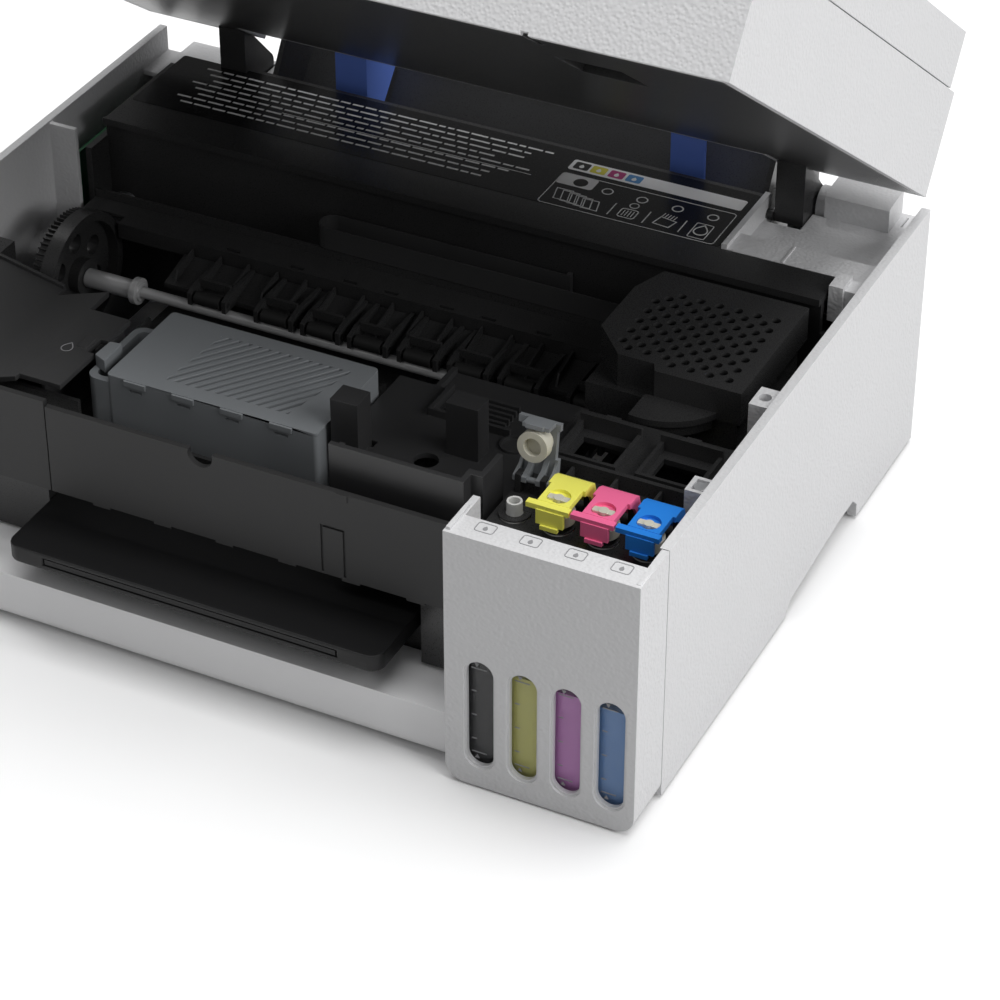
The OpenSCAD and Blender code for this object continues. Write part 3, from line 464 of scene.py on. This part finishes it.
# ---- black collars on the filler nozzles
for ink, x in zip(INKS, NOZZLE_X):
    collar = Solid().frame_of(circle(x, 43, 6.2, 36), circle(x, 43, 3.35, 36), 99.55, 100.2)
    piece("nozzle_collar_" + ink, collar, "black_cover", "printer", 0.12)

# ---- lip along the back of the service slope, and a plain drop outline on its flat
lip = Solid().prism([(-160, 102.3), (-124.2, 94.35), (-124.2, 96.1), (-160, 104.1)], 108.4, 110, "y")
piece("service_lip", lip, "service_dark", "printer", 0.25)
service_mark = Solid().frame_of(droplet(-91.5, 60.5, 2.5), droplet(-91.5, 60.5, 2.1), 102.97, 103.06)
piece("service_mark", service_mark, "mark_grey", "printer", 0)

# ---- latch tab over the maintenance box's handle
tab = Solid().prism([(-78.6, 61.0), (-72.4, 58.2), (-72.8, 72.4), (-78.1, 71.6)], 97.6, 103.6)
piece("box_latch_tab", tab, "grey_plastic", "maintenance_box", 0.5)

# ---- label on the rear ledge: plain bars, colour squares and simple shapes
PRINT_LOW, PRINT_HIGH = LEDGE_Z + 0.12, LEDGE_Z + 0.2
PRINT = (PRINT_LOW, PRINT_HIGH)
SQUARE_X = {"black": 38.6, "yellow": 46.6, "magenta": 55.0, "blue": 63.2}
label = Solid().prism(rounded(-166, 117.4, 232.6, 278.6, 1.5), LEDGE_Z - 0.02, LEDGE_Z + 0.14)
piece("ledge_label", label, "label_black", "printer", 0.05)


def inked(name, solid, look):
    piece(name, solid, look, "printer", 0)


bar = Solid().prism(rounded(33.4, 114.2, 263.2, 271.8, 1.2), *PRINT)
inked("label_bar", bar, "print_grey")
for color, x in SQUARE_X.items():
    outline = rounded(x - 3.5, x + 3.5, 264.6, 270.4, 0.9)
    square = Solid().prism(outline, PRINT_HIGH - 0.02, PRINT_HIGH + 0.04)
    inked("label_square_" + color, square, "print_" + color)
drops = Solid()
for x in SQUARE_X.values():
    drops.prism(droplet(x, 266.9, 1.1), PRINT_HIGH + 0.02, PRINT_HIGH + 0.08)
inked("label_drops", drops, "print_grey")
lines = Solid()
lines.frame_of(rounded(33.4, 114.4, 232.9, 260.0, 1.8), rounded(33.8, 114.0, 233.3, 259.6, 1.4), *PRINT)
lines.prism(rounded(33.6, 50.6, 250.6, 259.8, 1.6), *PRINT)
for x in (57.3, 73.4, 89.8, 106.0):
    lines.frame_of(circle(x, 253.1, 2.6), circle(x, 253.1, 2.0), *PRINT)
for x in (64.5, 80.5, 97.0):
    lines.bar(x, x + 0.5, 236.0, 246.0, *PRINT)
# four plain drawings: stacked sheets, a bottle, a box and a drop
for i in range(5):
    x, low, high = 38.5 + i * 3.4, i * 0.5, i * 0.8
    lines.frame_of([(x, 238 - low), (x + 8, 238 - low), (x + 6, 247 - high), (x - 2, 247 - high)],
                   [(x + 0.4, 238.4 - low), (x + 7.4, 238.4 - low), (x + 5.6, 246.5 - high),
                    (x - 1.5, 246.5 - high)], *PRINT)
lines.frame_of(rounded(68.5, 76.5, 236.5, 244, 1.5), rounded(69.0, 76.0, 237.0, 243.5, 1.0), *PRINT)
lines.frame_of(circle(72.5, 247.2, 2.2), circle(72.5, 247.2, 1.7), *PRINT)
for i in range(4):
    lines.bar(70.2 + i * 1.4, 70.6 + i * 1.4, 238, 242.6, *PRINT)
lines.frame_of([(84.5, 238), (92.5, 237), (94, 243), (86, 244.6)],
               [(85.1, 238.4), (92.1, 237.6), (93.4, 242.6), (86.4, 244)], *PRINT)
for i in range(5):
    x, low = i * 1.4, i * 0.2
    lines.prism([(86 + x, 243.8 - low), (86.4 + x, 243.8 - low), (87 + x, 247.6 - low),
                 (86.6 + x, 247.6 - low)], *PRINT)
lines.frame_of(droplet(105.6, 240.4, 3.2), droplet(105.6, 240.5, 2.6), *PRINT)
lines.frame_of(rounded(101.6, 109.6, 234.6, 246.8, 1.0), rounded(102.0, 109.2, 235.0, 246.4, 0.7), *PRINT)
inked("label_lines", lines, "print_white")
dot = Solid().prism(circle(44, 254.6, 3.2), PRINT_HIGH - 0.02, PRINT_HIGH + 0.05)
inked("label_dot", dot, "print_black")
# rows of short plain dashes where the real label carries small print
ROW_TOP, ROW_PITCH = 271.5, 4.4
DASH_TALL, DASH_GAP = 1.15, 1.2
MULTIPLIER, INCREMENT, MODULUS = 1103515245, 12345, 2147483648
dashes = Solid()
seed = 7
for row in range(8):
    y = ROW_TOP - row * ROW_PITCH
    x, end = -150.0 + 4 * (row % 3), 20.0 - 7 * (row % 4)
    while x < end:
        seed = (seed * MULTIPLIER + INCREMENT) % MODULUS
        length = 3.0 + 7.0 * (seed / MODULUS)
        dashes.bar(x, x + length, y, y + DASH_TALL, *PRINT)
        x += length + DASH_GAP
dashes.bar(-100, 22, 251.2, 251.55, *PRINT)
inked("label_dashes", dashes, "print_grey")

# ---------------------------------------------------------------- floor and light

floor_mesh = bpy.data.meshes.new("floor")
floor_mesh.from_pydata([(-6, -6, 0), (6, -6, 0), (6, 6, 0), (-6, 6, 0)], [], [(0, 1, 2, 3)])
floor = bpy.data.objects.new("floor", floor_mesh)
floor.location.z = CAD_BOX[0][2] - 0.0002
bpy.context.scene.collection.objects.link(floor)
floor_look = Graph("floor")
pale = floor_look.mix(floor_look.noise(3), (0.95, 0.95, 0.955), (0.97, 0.97, 0.97))
bounce = floor_look.add("LightPath").outputs["Is Diffuse Ray"]
floor_shader = floor_look.add("BsdfDiffuse", Color=floor_look.mix(bounce, pale, (0.52, 0.52, 0.52)))
floor_look.put(floor_look.out, "Surface", floor_shader.outputs[0])
floor_mesh.materials.append(floor_look.mat)

world = bpy.data.worlds.new("studio")
bpy.context.scene.world = world
world.use_nodes = True
background = world.node_tree.nodes["Background"]
background.inputs["Color"].default_value = (1, 1, 1, 1)
background.inputs["Strength"].default_value = 0.17


def softbox(name, place, target, width, height, power):
    """A rectangular light at a place, aimed at a target, in metres and watts."""
    light = bpy.data.lights.new(name, "AREA")
    light.shape = "RECTANGLE"
    light.size, light.size_y = width, height
    light.energy = power
    obj = bpy.data.objects.new(name, light)
    bpy.context.scene.collection.objects.link(obj)
    obj.location = place
    aim = Vector(target) - Vector(place)
    obj.rotation_euler = aim.to_track_quat("-Z", "Y").to_euler()


softbox("overhead", (0.15, 0.45, 2.45), (0, 0, 0), 2.8, 1.9, 72)
softbox("right", (2.1, -0.3, 1.3), (0, 0.05, 0.1), 1.6, 1.4, 27)
softbox("front", (-0.35, -1.7, 1.6), (0, 0, 0.1), 0.9, 0.6, 2)

bpy.context.scene.view_settings.view_transform = "Standard"
